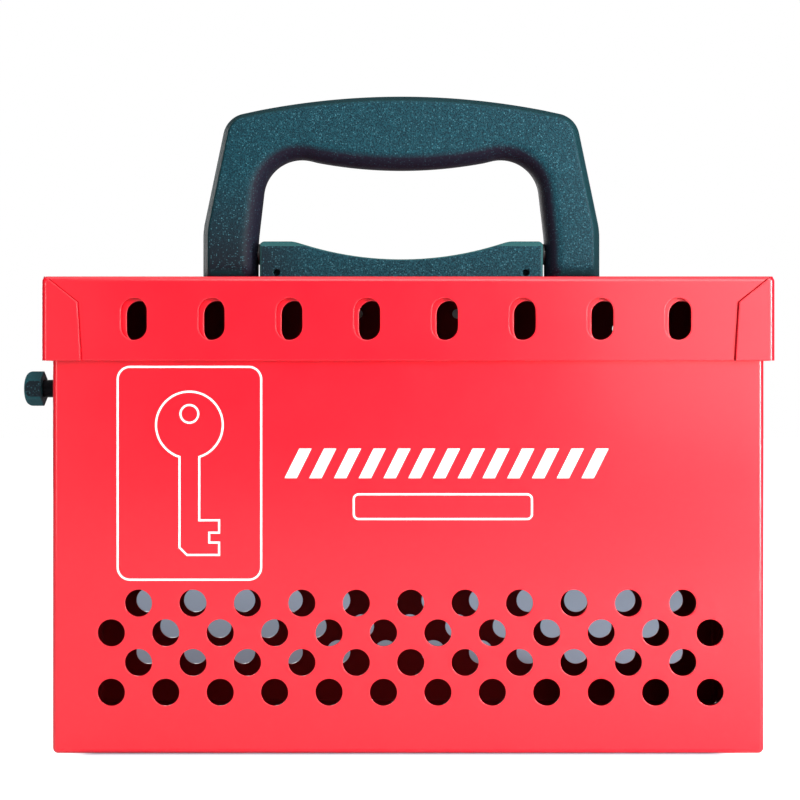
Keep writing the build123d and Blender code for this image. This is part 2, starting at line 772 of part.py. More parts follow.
def make_pivot_washers():
    """Friction washers between the saddle's ends and the arms."""
    bore = pivot_diameter + fit_clearance
    washers = []
    for side in (-1, 1):
        inner = handle_shift + side * saddle_half_length
        outer = handle_shift + side * (handle_half_opening - washer_side_gap)
        washer = rod_x(inner, outer, pivot_washer_diameter, 0, pivot_z)
        washers.append(washer - rod_x(-half_width, half_width, bore, 0, pivot_z))
    return Compound(washers)


def make_saddle_inserts():
    """Brass threaded inserts moulded into the saddle's underside."""
    top = box_height + insert_length
    bore = screw_diameter + fit_clearance
    return Compound(
        [ring_z(box_height, top, insert_diameter, bore, x, 0) for x in screw_places()]
    )


def make_backing_plate():
    """Stiffening plate under the lid that spreads the handle's load."""
    low = lid_under_z - backing_thickness
    length = 2 * (outer_screw_x + backing_overhang)
    outline = Plane((handle_shift, 0, low)) * SlotOverall(length, backing_width)
    plate = extrude(outline, backing_thickness)
    for x in screw_places():
        plate -= rod_z(low - overcut, lid_under_z + overcut, screw_hole, x, 0)
    return plate


def make_screw_washers():
    """Plain washers under the heads of the saddle's screws."""
    top = lid_under_z - backing_thickness
    low = top - washer_thickness
    return Compound(
        [ring_z(low, top, washer_diameter, screw_hole, x, 0) for x in screw_places()]
    )


def make_saddle_screws():
    """Pan head screws driven up into the saddle from inside the lid."""
    seat = lid_under_z - backing_thickness - washer_thickness
    head = rod_z(seat - screw_head_height, seat, screw_head_diameter, 0, 0)
    head = fillet(head.edges().group_by(Axis.Z)[0], screw_head_rounding)
    for turn in (0, 90):
        bar = Box(screw_recess_length, screw_recess_width, 2 * screw_recess_depth)
        head -= Pos(0, 0, seat - screw_head_height) * Rot(0, 0, turn) * bar
    tip = box_height + insert_length - screw_tip_gap
    screw = head + rod_z(seat, tip, screw_diameter, 0, 0)
    return Compound([Pos(x, 0, 0) * screw for x in screw_places()])


nodes = {
    "case_shell": make_case_shell,
    "back_panel": make_back_panel,
    "hinge_leaf_case": make_hinge_leaf_case,
    "hinge_leaf_lid": make_hinge_leaf_lid,
    "hinge_pin": make_hinge_pin,
    "case_rivets": make_case_rivets,
    "lid_rivets": make_lid_rivets,
    "lid_shell": make_lid_shell,
    "lid_catch": make_lid_catch,
    "button_bush": make_button_bush,
    "bush_nut": make_bush_nut,
    "button_head": make_button_head,
    "button_shaft": make_button_shaft,
    "button_spring": make_button_spring,
    "guide_bracket": make_guide_bracket,
    "handle_grip": make_handle_grip,
    "handle_saddle": make_handle_saddle,
    "handle_pivots": make_handle_pivots,
    "pivot_washers": make_pivot_washers,
    "saddle_inserts": make_saddle_inserts,
    "backing_plate": make_backing_plate,
    "screw_washers": make_screw_washers,
    "saddle_screws": make_saddle_screws,
}

os.makedirs("parts", exist_ok=True)
for name, make in nodes.items():
    export_step(make(), f"parts/{name}.step")
    print("wrote", name)
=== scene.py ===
# %% [markdown]
# # A steel lockout box, finished for a studio picture
#
# The box is folded from painted sheet steel. Its lid takes a row of padlocks, a button in its
# left side works the catch, and a moulded handle folds down on a saddle. The engineering model
# already has every piece at its real size, so this script starts from it and never moves it.
# What is added here is what a camera needs: finishes, a screen print, a handle with its real soft
# section, a wound spring, light and a view. All lengths are in metres, with X to the right, Y to
# the back and Z up.

# %% Load the engineering model
import math
import bpy
import numpy as np
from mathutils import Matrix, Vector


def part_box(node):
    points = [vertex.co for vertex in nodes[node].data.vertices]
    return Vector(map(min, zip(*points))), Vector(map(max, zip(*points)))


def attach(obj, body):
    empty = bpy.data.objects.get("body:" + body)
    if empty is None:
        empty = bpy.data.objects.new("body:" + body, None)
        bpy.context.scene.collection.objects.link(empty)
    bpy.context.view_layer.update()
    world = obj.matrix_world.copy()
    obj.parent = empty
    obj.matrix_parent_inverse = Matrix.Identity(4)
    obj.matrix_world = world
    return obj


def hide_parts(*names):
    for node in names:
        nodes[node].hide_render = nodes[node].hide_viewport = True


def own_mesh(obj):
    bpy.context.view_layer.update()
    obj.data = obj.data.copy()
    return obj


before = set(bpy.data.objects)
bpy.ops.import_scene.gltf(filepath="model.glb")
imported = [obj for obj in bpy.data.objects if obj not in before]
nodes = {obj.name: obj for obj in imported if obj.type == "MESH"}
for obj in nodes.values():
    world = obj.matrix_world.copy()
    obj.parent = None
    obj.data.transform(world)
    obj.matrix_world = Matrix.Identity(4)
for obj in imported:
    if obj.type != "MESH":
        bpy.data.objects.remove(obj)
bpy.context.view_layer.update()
mm = 0.001


case_low, case_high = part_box("case_shell")
lid_low, lid_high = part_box("lid_shell")

# %% [markdown]
# ## The camera
#
# The picture was taken from straight in front with a long lens. The lower holes show the floor
# of the box and the upper slots its roof, so the eye is level with the upper third of the box.
# A camera that looks exactly along Y keeps the box's edges parallel, and a small lens shift, not
# a tilt, moves the box up or down in the frame. Tilting would be simpler, but then the sides
# would lean together.

# %% Set the camera
picture = 800  # pixels along each side
sensor = 36.0  # millimetres of film along each side
axis_px = (402.5, 375.5)  # where the line of sight meets the picture
eye_x, eye_z = -2.3 * mm, 153.0 * mm
eye_distance = 610.0 * mm  # from the front of the case
front_scale = 2.475  # pixels to a millimetre at the front of the case
focal_px = front_scale * eye_distance / mm

lens = bpy.data.cameras.new("eye")
lens.sensor_width = sensor
lens.lens = focal_px / picture * sensor
lens.shift_x = (picture / 2 - axis_px[0]) / picture
lens.shift_y = (axis_px[1] - picture / 2) / picture
lens.clip_start, lens.clip_end = 0.01, 20.0
eye = bpy.data.objects.new("eye", lens)
eye.location = (eye_x, case_low.y - eye_distance, eye_z)
eye.rotation_euler = (math.radians(90), 0, 0)
bpy.context.scene.collection.objects.link(eye)
bpy.context.scene.camera = eye
bpy.context.scene.view_settings.view_transform = "Standard"
print("lens", round(lens.lens, 2), "mm, shift", round(lens.shift_x, 4), round(lens.shift_y, 4))

# %% [markdown]
# ## Finishes as graphs of nodes
#
# A finish is a small graph in Blender: textures and sums feed the sockets of one surface shader.
# It could be drawn by hand in the editor, but then it couldn't be read or repeated here. The
# class below gives the script short calls to add a node and to wire it up. Colours are written
# as they look on a screen, from 0 to 255, and turned into the linear light that shaders need.

# %% Make short calls for nodes
class Finish:
    """A material made of nodes, with short calls to add a node and to wire it up."""

    def __init__(self, name, **sockets):
        self.material = bpy.data.materials.new(name)
        self.material.use_nodes = True
        self.tree = self.material.node_tree
        self.surface = self.tree.nodes["Principled BSDF"]
        for socket, value in sockets.items():
            self.surface.inputs[socket.replace("_", " ")].default_value = value

    def node(self, kind, settings=None, **inputs):
        """Adds a node, sets its properties, and fills its inputs with values or other sockets.
        An input goes by its name, or by its number after a low line, as in _0."""
        made = self.tree.nodes.new(kind)
        for name, value in (settings or {}).items():
            setattr(made, name, value)
        for name, value in inputs.items():
            socket = made.inputs[int(name[1:]) if name[1:].isdigit() else name.replace("_", " ")]
            if isinstance(value, bpy.types.NodeSocket):
                self.tree.links.new(value, socket)
            else:
                socket.default_value = value
        return made

    def wire(self, socket, name):
        """Connects a socket to one of the surface's own inputs."""
        self.tree.links.new(socket, self.surface.inputs[name])

    def number(self, operation, *values):
        """A number worked out from others, such as a product or the larger of two."""
        inputs = {f"_{i}": value for i, value in enumerate(values)}
        return self.node("ShaderNodeMath", {"operation": operation}, **inputs).outputs[0]

    def vector(self, operation, *values):
        """A sum on vectors. Its outputs are the resulting vector and, for some, a number."""
        inputs = {f"_{i}": value for i, value in enumerate(values)}
        return self.node("ShaderNodeVectorMath", {"operation": operation}, **inputs).outputs

    def parts(self, vector):
        """A vector's X, Y and Z."""
        return self.node("ShaderNodeSeparateXYZ", Vector=vector).outputs

    def place(self):
        """Where a point lies in the piece's own space."""
        return self.node("ShaderNodeTexCoord").outputs["Object"]

    def facing(self):
        """Which way the surface faces in the piece's own space."""
        return self.node("ShaderNodeTexCoord").outputs["Normal"]


def linear(red, green, blue):
    """A colour given as 0 to 255 on a screen, as the linear values that a shader takes."""
    screen = np.array([red, green, blue]) / 255
    light = np.where(screen <= 0.04045, screen / 12.92, ((screen + 0.055) / 1.055) ** 2.4)
    return (*light.tolist(), 1.0)


print("mid grey in linear light:", round(linear(128, 128, 128)[0], 3))

# %% [markdown]
# ## Noise, ramps and bumps
#
# Real surfaces vary: paint flows, moulds are etched and plating is blotchy. Pictures of such
# surfaces could be wrapped round each piece, but then every piece would have to be unrolled first.
# Soft noise needs no unrolling: it gives a value to every point in space. A ramp turns the value
# into a colour or a roughness, and a bump turns it into relief. The noise is read in the piece's
# own space, so a pattern stays on its piece when a joint moves.

# %% Prepare noise, ramps and bumps
usual_noise = (0.3, 0.7)  # where most of the values of soft noise lie


def noise(finish, size, detail=2.0):
    """Soft random values from 0 to 1 in the piece's own space, with features of a given size."""
    made = finish.node("ShaderNodeTexNoise", Vector=finish.place(), Scale=1 / size, Detail=detail)
    return made.outputs["Fac"]


def between(finish, value, low, high, first, last):
    """A number that runs from first to last as a value goes from low to high."""
    return finish.node(
        "ShaderNodeMapRange", {"clamp": True},
        Value=value, From_Min=low, From_Max=high, To_Min=first, To_Max=last,
    ).outputs[0]


def mixed_colour(finish, share, first, second):
    """A colour between two others, either of which may be a fixed one or a socket."""
    mix = finish.node("ShaderNodeMix", {"data_type": "RGBA"}, _0=share, _6=first, _7=second)
    return mix.outputs[2]


def ramp(finish, value, low, high, colour_low, colour_high):
    """A colour that runs from one to another as a value goes from low to high."""
    share = between(finish, value, low, high, 0.0, 1.0)
    return mixed_colour(finish, share, colour_low, colour_high)


def rounded_edges(finish, radius):
    """Shading that rounds sharp edges over a radius."""
    return finish.node("ShaderNodeBevel", {"samples": 8}, Radius=radius).outputs["Normal"]


def bumped(finish, height, depth, normal=None):
    """A surface whose shading rises and falls by a depth where height goes from 0 to 1."""
    inputs = {"Height": height, "Distance": depth, "Strength": 1.0}
    if normal is not None:
        inputs["Normal"] = normal
    return finish.node("ShaderNodeBump", **inputs).outputs["Normal"]


def finish_nodes(material, *names):
    """Gives engineering nodes a finish in place of their plain colour."""
    for name in names:
        slots = nodes[name].data.materials
        slots.clear()
        slots.append(material)


steps = (noise, between, mixed_colour, ramp, rounded_edges, bumped)
print("steps of a finish:", [step.__name__ for step in steps])

# %% [markdown]
# ## The floor
#
# The box stands in a white studio. A large floor could be lit to white only by washing out the
# box, so the white comes from its own colour: what the lens sees directly glows, while all other
# light falls on a plain matt floor. The photograph is pure white beside and in front of the box,
# and a shaded grey-blue where the floor behind it shows through the holes. So the floor carries a
# painted shadow, a darker grey-blue colour and less glow, only in the wedge that the box hides from
# the lens, with soft borders. The wedge is worked out from places on the floor, so it stays where
# it is when the box is looked at from elsewhere, and there it reads as the box's broad shadow.

# %% Shade the floor
floor_glow = 0.05  # the least white that the camera sees on the shaded floor
shade_wedge = (0.195, 0.232)  # sideways over depth from the eye, from full shade to pure white
shade_depth = (0.50, 0.80)  # metres behind the box's front, from full shade to pure white
shade_front = (-0.004, 0.009)  # metres in front of it, from full shade to pure white


def clear_of_box(finish):
    """0 on the floor that the box hides from the lens, and 1 further to the sides, in front and
    far behind, with soft steps between."""
    from_eye = finish.parts(finish.vector("SUBTRACT", finish.place(), tuple(eye.location))[0])
    steepness = finish.number("DIVIDE", finish.number("ABSOLUTE", from_eye["X"]), from_eye["Y"])

    def step(value, low, high):
        return finish.node(
            "ShaderNodeMapRange", {"interpolation_type": "SMOOTHSTEP"},
            Value=value, From_Min=low, From_Max=high,
        ).outputs[0]

    beside = step(steepness, *shade_wedge)
    behind = step(from_eye["Y"], *(eye_distance + depth for depth in shade_depth))
    before = step(from_eye["Y"], *(eye_distance - depth for depth in shade_front))
    return finish.number("MAXIMUM", finish.number("MAXIMUM", beside, behind), before)


def glow_from_afar(finish, clear):
    """The floor's glow for direct looks: faint near the box, also in mirrors and glass, and pure
    white to the lens where it is clear of the box, as a floor that curves up into a backdrop."""
    path = finish.node("ShaderNodeLightPath").outputs
    white = finish.number("MULTIPLY", clear, path["Is Camera Ray"])
    mirrored = finish.number("MAXIMUM", path["Is Camera Ray"], path["Is Glossy Ray"])
    seen = finish.number("MAXIMUM", mirrored, path["Is Transmission Ray"])
    return finish.number("MAXIMUM", finish.number("MULTIPLY", seen, floor_glow), white)


print("shade across the box's front in mm:", [round(w * eye_distance / mm) for w in shade_wedge])

# %% [markdown]
# ## A sheet to stand on
#
# The floor is a single rectangle, large enough that its edges are never seen. It is also the
# first new mesh here. Blender's own shapes could be added and then bent, but all new meshes in
# this script come from lists of points and faces, so one short function makes each of them.

# %% Lay the floor
floor_width = 6.0
floor_front, floor_back = -1.3, 3.0
floor_pale = (0.76, 0.76, 0.77, 1)
floor_painted_shadow = (0.27, 0.315, 0.41, 1)
floor_roughness = 0.9


def new_piece(name, points, faces, material=None, smooth=False):
    """An object at the origin, made from points and faces and shaded smooth or flat."""
    mesh = bpy.data.meshes.new(name)
    mesh.from_pydata(np.reshape(points, (-1, 3)).tolist(), [], faces)
    mesh.polygons.foreach_set("use_smooth", np.full(len(mesh.polygons), smooth))
    if material:
        mesh.materials.append(material)
    piece = bpy.data.objects.new(name, mesh)
    bpy.context.scene.collection.objects.link(piece)
    return piece


def pale_floor():
    """A pale matt finish, with the glow that only direct looks receive, and a painted shadow behind.
    """
    plain = Finish(
        "floor_white", Roughness=floor_roughness, Specular_IOR_Level=0.0, Emission_Color=(1, 1, 1, 1)
    )
    clear = clear_of_box(plain)
    # the grey-blue in the wedge behind the box is a painted shadow
    plain.wire(mixed_colour(plain, clear, floor_painted_shadow, floor_pale), "Base Color")
    plain.wire(glow_from_afar(plain, clear), "Emission Strength")
    return plain.material


half = floor_width / 2
corners = [
    (-half, floor_front, 0), (half, floor_front, 0), (half, floor_back, 0), (-half, floor_back, 0)
]
floor = new_piece("studio_floor", corners, [(0, 1, 2, 3)], pale_floor())
print("floor in metres:", [round(side, 2) for side in floor.dimensions])

# %% [markdown]
# ## The light
#
# Broad lamps give the soft gradients on the paint. A large one stands in front on the right, and
# its reflection is the pale veil that grows towards that side. Two narrow strips stand low to
# either side: what they draw is the bright line along each fold. A single big lamp would light
# the box as well, but its folds would vanish. A lamp behind keeps the back from going black.

# %% Hang the lamps
ambient = 0.12  # the surround's light on everything but the lens
box_middle = (0.0, 0.0, 0.12)
lamps = {  # place, width and height, watts, and what it is turned to
    "right_lamp": ((0.71, -1.34, 0.62), (1.1, 1.2), 8.8, box_middle),
    "left_lamp": ((-0.62, -1.30, 0.45), (0.5, 1.0), 0.6, box_middle),
    "right_strip": ((0.50, -0.46, 0.24), (0.13, 0.44), 5.6, (0.05, 0.0, 0.16)),
    "left_strip": ((-0.62, -0.80, 0.22), (0.05, 0.40), 0.9, (-0.10, 0.0, 0.14)),
    "top_lamp": ((0.30, -1.05, 1.25), (1.3, 0.9), 12.5, box_middle),
    "over_lamp": ((0.0, -0.05, 1.30), (1.2, 1.1), 4.5, box_middle),
    "back_lamp": ((-0.65, 1.25, 0.36), (1.0, 0.5), 7.0, box_middle),
}


def light_surround():
    """White where it is looked at, and a dimmer even light on everything else."""
    world = bpy.data.worlds.new("surround")
    bpy.context.scene.world = world
    world.use_nodes = True
    tree = world.node_tree
    glow = tree.nodes["Background"]
    path = tree.nodes.new("ShaderNodeLightPath")
    mix = tree.nodes.new("ShaderNodeMapRange")
    mix.inputs["To Min"].default_value = ambient
    mix.inputs["To Max"].default_value = 1.0
    tree.links.new(path.outputs["Is Camera Ray"], mix.inputs["Value"])
    glow.inputs["Color"].default_value = (1, 1, 1, 1)
    tree.links.new(mix.outputs[0], glow.inputs["Strength"])


def hang_softbox(name, place, size, watts, aim):
    """A rectangular lamp at a place, turned towards what it lights."""
    lamp = bpy.data.lights.new(name, "AREA")
    lamp.shape = "RECTANGLE"
    lamp.size, lamp.size_y = size
    lamp.energy = watts
    box = bpy.data.objects.new(name, lamp)
    box.location = place
    towards = (np.array(aim) - np.array(place)).tolist()
    box.rotation_euler = Vector(towards).to_track_quat("-Z", "Y").to_euler()
    bpy.context.scene.collection.objects.link(box)


light_surround()
for name, (place, size, watts, aim) in lamps.items():
    hang_softbox(name, place, size, watts, aim)
print("lamps:", {name: watts for name, (_, _, watts, _) in lamps.items()})

# %% [markdown]
# ## Inside and outside
#
# The sheets are painted on both faces. Inside the box the red is darkened, a painted shade for
# the little light that reaches in, and the coat is made dull. In the engineering model a sheet is
# one solid, so its faces could only be told apart by picking them one by one. It is simpler by
# place: whatever lies deeper than half the sheet's thickness below the box's own outline is inside.

# %% Tell inside from outside
wall = 1.2 * mm
fold = 2.2 * mm  # outside radius of the sheets' folds


def inside_share(finish):
    """1 in the middle of the box's walls and further in, and 0 on their outer faces. A point's
    depth is how far it lies within a block with rounded edges: the fold's radius, less the length
    of what its depths below the six faces fall short of that radius."""
    low, high = case_low.to_tuple(), (case_high.x, case_high.y, lid_high.z)
    middle = [(a + b) / 2 for a, b in zip(low, high)]
    shrunk = [(b - a) / 2 - fold for a, b in zip(low, high)]
    off = finish.vector("ABSOLUTE", finish.vector("SUBTRACT", finish.place(), middle)[0])[0]
    short = finish.vector("MAXIMUM", finish.vector("SUBTRACT", off, shrunk)[0], (0, 0, 0))[0]
    length = finish.vector("LENGTH", short)["Value"]
    return between(finish, length, fold - 0.75 * wall, fold - 0.25 * wall, 1.0, 0.0)


print("inside starts", round(0.25 * wall / mm, 2), "to", round(0.75 * wall / mm, 2), "mm deep")

# %% [markdown]
# ## Powder coat
#
# The sheet steel is sprayed with red powder and baked. It melts into a glossy skin that is never
# quite flat: up close it has the fine dimples called orange peel, and it swells a little over
# every cut edge, which is why slots and holes are outlined by a thin line of light. Inside the box
# the coat is made dull, and its red is darkened as painted shade for the little light that reaches
# in. A flat red with some gloss would look like plastic. Here the peel is a shallow bump on two
# scales, the gloss wanders slightly, and a bevel in the shading rounds each edge as the paint does.

# %% Mix the red paint
paint_red = linear(233, 9, 35)
paint_deep = linear(227, 6, 32)
# painted shade: the red of the box's inside is darkened, since little light reaches in
paint_inside_shade = linear(104, 1, 6)
tone_size = 40.0 * mm
gloss_size = 15.0 * mm
gloss_range = (0.25, 0.35)
gloss_lost_inside = 0.2
sheen_outside, sheen_inside = 0.5, 0.1
clear_coat, clear_roughness = 0.6, 0.16
paint_edge = 0.8 * mm
peel_size, peel_depth = 2.6 * mm, 0.012 * mm
wave_size, wave_depth = 11.0 * mm, 0.03 * mm


def powder_coat():
    """Glossy red with orange peel, wandering gloss and swollen edges, dull and in painted shade
    inside.
    """
    paint = Finish("powder_coat_red", Coat_Roughness=clear_roughness)
    inside = inside_share(paint)
    outer = ramp(paint, noise(paint, tone_size, detail=3.0), 0.0, 1.0, paint_deep, paint_red)
    # the darker red inside the box is painted shade
    paint.wire(mixed_colour(paint, inside, outer, paint_inside_shade), "Base Color")
    gloss = between(paint, noise(paint, gloss_size), 0.0, 1.0, *gloss_range)
    dull = between(paint, inside, 0.0, 1.0, 0.0, gloss_lost_inside)
    paint.wire(paint.number("ADD", gloss, dull), "Roughness")
    swell = bumped(paint, noise(paint, wave_size), wave_depth, rounded_edges(paint, paint_edge))
    paint.wire(bumped(paint, noise(paint, peel_size, detail=3.0), peel_depth, swell), "Normal")
    paint.wire(between(paint, inside, 0.0, 1.0, sheen_outside, sheen_inside), "Specular IOR Level")
    paint.wire(between(paint, inside, 0.0, 1.0, clear_coat, 0.0), "Coat Weight")
    return paint.material


red = powder_coat()
finish_nodes(red, "case_shell", "back_panel", "lid_shell")
print("painted:", red.name)

# %% [markdown]
# ## Grained plastic
#
# The handle and its saddle are moulded in dark teal nylon. The faces of the mould were etched,
# so the flat faces carry a fine grain that glitters and looks lighter, while the rounded rims,
# where the mould was polished, stay smooth. On the handle the rims are near black, and purple
# where they face the red lid: painted shade, and a painted reflection of the lid. The grain could
# be painted on as speckles, but real glitter moves with the light, so it is relief first: small
# cells and a finer noise push the shading about, and a few cells are painted lighter as glints.
# How flat a spot is comes from its own normal, which keeps the smooth rims where they belong
# when the handle folds.

# %% Etch the grain
grain_cell, grain_blend = 0.62 * mm, 0.4
grain_fine = 0.35 * mm
glint_cell = 0.75 * mm
glint_chance = 0.60  # the share of cells that stay dark
glint_core, glint_rim = 0.15, 0.50  # in cells, from a glint's middle
flat_from, flat_to = 0.84, 0.975  # the normal's share along Y: rolled away, and flat
side_blend = 10.0 * mm  # the soft step between sides that face in and out


def flatness(finish):
    """1 on faces square to Y and 0 where the surface has rolled away towards a rim."""
    size = finish.number("ABSOLUTE", finish.parts(finish.facing())["Y"])
    return between(finish, size, flat_from, flat_to, 0.0, 1.0)


def grain(finish):
    """Height of the etched grain: rounded cells with a finer noise over them."""
    cells = finish.node(
        "ShaderNodeTexVoronoi", {"feature": "SMOOTH_F1"},
        Vector=finish.place(), Scale=1 / grain_cell, Smoothness=grain_blend,
    ).outputs["Distance"]
    return finish.number("ADD", cells, noise(finish, grain_fine))


def painted_glints(finish):
    """Painted glints: 0 nearly everywhere and up to 1 in scattered round spots: of cells that fill
    the space, each has a random number, and only those near 1 light up, about their own centres."""
    cells = finish.node("ShaderNodeTexVoronoi", Vector=finish.place(), Scale=1 / glint_cell)
    chance = finish.parts(cells.outputs["Color"])["X"]
    lit = between(finish, chance, glint_chance, 1.0, 0.0, 1.0)
    middle = between(finish, cells.outputs["Distance"], glint_core, glint_rim, 1.0, 0.0)
    return finish.number("MULTIPLY", lit, middle)


def facing_out(finish, middle):
    """0 where a surface faces a point in the middle, rising to 1 where it faces away from it: the
    way from the point, measured along the surface's normal, over a soft step."""
    away = finish.vector("SUBTRACT", finish.place(), middle)[0]
    along = finish.vector("DOT_PRODUCT", away, finish.facing())["Value"]
    return between(finish, along, 0.0, side_blend, 0.0, 1.0)


print("grain cells in mm:", round(grain_cell / mm, 2), "speck cells:", round(glint_cell / mm, 2))

# %% [markdown]
# ## Three teal mouldings
#
# Handle, saddle and button come from different moulds in slightly different shades. They share a
# recipe: face and grain colours on the flats, one colour on rims that face the hand opening and
# another on rims that face out, and a slate tone on the foot of the left arm. The rim colours are
# painted light and shade: dark on the handle, purple as a painted reflection where they face the
# red lid, and a painted highlight along the saddle's top edges. The slate is painted shade,
# darker towards the bottom of the arm, where the lamps barely reach. One function with the
# colours as arguments keeps them related, which three hand-made graphs wouldn't.

# %% Mix the three teals
grain_depth = 0.06 * mm
grain_low, grain_high = 0.7, 1.35
# colour of the painted glints on the grain
painted_glint_colour = linear(84, 146, 160)
glint_on_rim, glint_on_face = 0.18, 0.55
teal_face, teal_dark = linear(21, 67, 78), linear(4, 34, 44)
# painted shade on the handle's rims: near black, purple where the red lid is reflected
teal_rim_painted_shade, teal_outer_rim_painted_shade = linear(22, 22, 36), linear(12, 50, 56)
# painted shade on the foot of the handle's left arm
teal_foot_shade = linear(19, 29, 37)
teal_sheen = 0.13
rough_rim, rough_face = 0.60, 0.46
moulded_edge, saddle_edge = 0.3 * mm, 1.1 * mm
foot_shade_z, foot_shade_x = (204.0 * mm, 240.0 * mm), (-66.0 * mm, -40.0 * mm)  # full painted shade to none
foot_shade_most = 0.95
handle_x, opening_rise = -2.8 * mm, 20.0 * mm
opening_middle = (handle_x, 0.0, lid_high.z + opening_rise)


def painted_foot_shade(finish):
    """Painted shade: nearly 1 on the foot of the handle's left arm, and 0 higher up and further
    right.
    """
    parts = finish.parts(finish.place())
    low = between(finish, parts["Z"], *foot_shade_z, 1.0, 0.0)
    left = between(finish, parts["X"], *foot_shade_x, 1.0, 0.0)
    return finish.number("MULTIPLY", finish.number("MULTIPLY", low, left), foot_shade_most)


def moulded_teal(name, face, dark, rim, outside, edge=moulded_edge):
    """Dark teal plastic: grained with painted glints on its flats, and painted light and shade on
    its rims.
    """
    plastic = Finish(name, Specular_IOR_Level=teal_sheen)
    flat = flatness(plastic)
    height = grain(plastic)
    grained = ramp(plastic, height, grain_low, grain_high, dark, face)
    # the slate on the left arm's foot is painted shade
    foot_shaded = mixed_colour(plastic, painted_foot_shade(plastic), grained, teal_foot_shade)
    # rim colours picked by which way a rim faces: painted light and shade
    sides = mixed_colour(plastic, facing_out(plastic, opening_middle), rim, outside)
    broad = mixed_colour(plastic, flat, sides, foot_shaded)
    share = between(plastic, flat, 0.0, 1.0, glint_on_rim, glint_on_face)
    # the lighter cells are painted glints
    glint_share = plastic.number("MULTIPLY", painted_glints(plastic), share)
    plastic.wire(mixed_colour(plastic, glint_share, broad, painted_glint_colour), "Base Color")
    plastic.wire(between(plastic, flat, 0.0, 1.0, rough_rim, rough_face), "Roughness")
    plastic.wire(bumped(plastic, height, grain_depth, rounded_edges(plastic, edge)), "Normal")
    return plastic.material


# a painted highlight on the saddle's top edges, and the button's rim colour
saddle_rim_painted_highlight, button_rim = linear(44, 88, 90), linear(36, 88, 96)
handle_teal = moulded_teal("moulded_teal_handle", teal_face, teal_dark, teal_rim_painted_shade, teal_outer_rim_painted_shade)
saddle_teal = moulded_teal(
    "moulded_teal_saddle", linear(24, 71, 82), teal_dark, saddle_rim_painted_highlight, saddle_rim_painted_highlight, saddle_edge
)
button_teal = moulded_teal(
    "moulded_teal_button", linear(52, 112, 124), linear(36, 92, 104), button_rim, button_rim
)
finish_nodes(handle_teal, "handle_grip")
finish_nodes(saddle_teal, "handle_saddle")
finish_nodes(button_teal, "button_head")
print("moulded:", handle_teal.name, saddle_teal.name, button_teal.name)

# %% [markdown]
# ## The handle's two outlines
#
# Seen from the front, the arch lies between two outlines: the outside's and the hand opening's.
# On each side both rise from a foot along an upright and a slanted run, turn a round corner and
# meet at a crest, the outside's bowed up and the opening's bowed down. Both could be traced from
# the picture point by point, but then they would wobble. A few lengths, in millimetres from the
# handle's middle and the lid, keep every curve fair and both halves alike.

# %% Trace the arch's outlines
arch_middle = (handle_x, lid_high.z)
foot_z, foot_round = 1.5 * mm, 6.5 * mm  # the arms' lower ends, above the lid
arc_points, crest_points = 33, 40  # along a corner, and from a corner to the crest
end_points, up_points, over_points = 10, 72, 96  # on half an outline, after even spacing
outside = {
    "foot": 85.9, "shoulder": (85.9, 23.0, 33.0), "corner": (75.7, 72.0, 11.0),
    "crest": 81.0, "run": 14.0,
}
opening = {
    "foot": 62.0, "shoulder": (62.0, 18.0, 60.0), "corner": (57.4, 57.5, 16.5),
    "crest": 49.0, "run": 21.4,
}


def corner_arc(before, corner, after, radius):
    """The arc that touches both runs at a corner: the two touching points, seen from the arc's
    centre, blended in the proportion of sines that keeps their distance from it."""
    back = (before - corner) / np.linalg.norm(before - corner)
    ahead = (after - corner) / np.linalg.norm(after - corner)
    turn = math.pi - math.acos(float(back @ ahead))
    reach = radius * math.tan(turn / 2)
    centre = corner + (back + ahead) / np.linalg.norm(back + ahead) * radius / math.cos(turn / 2)
    share = np.linspace(0, 1, arc_points)[:, None]
    first, last = corner + back * reach - centre, corner + ahead * reach - centre
    blend = np.sin((1 - share) * turn) * first + np.sin(share * turn) * last
    return centre + blend / math.sin(turn)


def resample(path, count):
    """The same path with points at even steps along it."""
    steps = np.linalg.norm(np.diff(path, axis=0), axis=1)
    walked = np.concatenate([[0], np.cumsum(steps)])
    even = np.linspace(0, walked[-1], count)
    return np.c_[np.interp(even, walked, path[:, 0]), np.interp(even, walked, path[:, 1])]


def arch_outline(foot, shoulder, corner, crest, run):
    """One outline of the arch from its left foot over the top to its right foot. Half of it is
    a quarter circle under the foot, an upright run, a slanted one, a round corner and a shallow
    parabola up or down to the crest; the other half is its mirror image. The corner's middle is
    always the same point's number, so two outlines can be joined point by point."""
    low = np.array([-foot * mm, foot_z + foot_round])
    knee = np.array([-shoulder[0], shoulder[1]]) * mm
    peak = np.array([-corner[0], corner[1]]) * mm
    x = np.linspace(-corner[0] + run, 0, crest_points) * mm
    shallow = np.c_[x, crest * mm + (corner[1] - crest) * mm * (x / (corner[0] * mm)) ** 2]
    bend = corner_arc(knee, peak, shallow[0], corner[2] * mm)
    middle = arc_points // 2
    up = np.vstack([low, corner_arc(low, knee, peak, shoulder[2] * mm), bend[:middle + 1]])
    over = np.vstack([bend[middle:], shallow])
    rise = 1 - np.cos(np.linspace(0, math.pi / 2, end_points))
    end = np.c_[np.full(end_points, -foot * mm), foot_z + foot_round * rise]
    half = np.vstack([end[:-1], resample(up, up_points), resample(over, over_points)[1:]])
    return np.vstack([half, (half * (-1, 1))[-2::-1]])


outer, inner = arch_outline(**outside), arch_outline(**opening)
print("points on each outline:", len(outer), "opening in mm:", np.ptp(inner, 0).round(4) / mm)

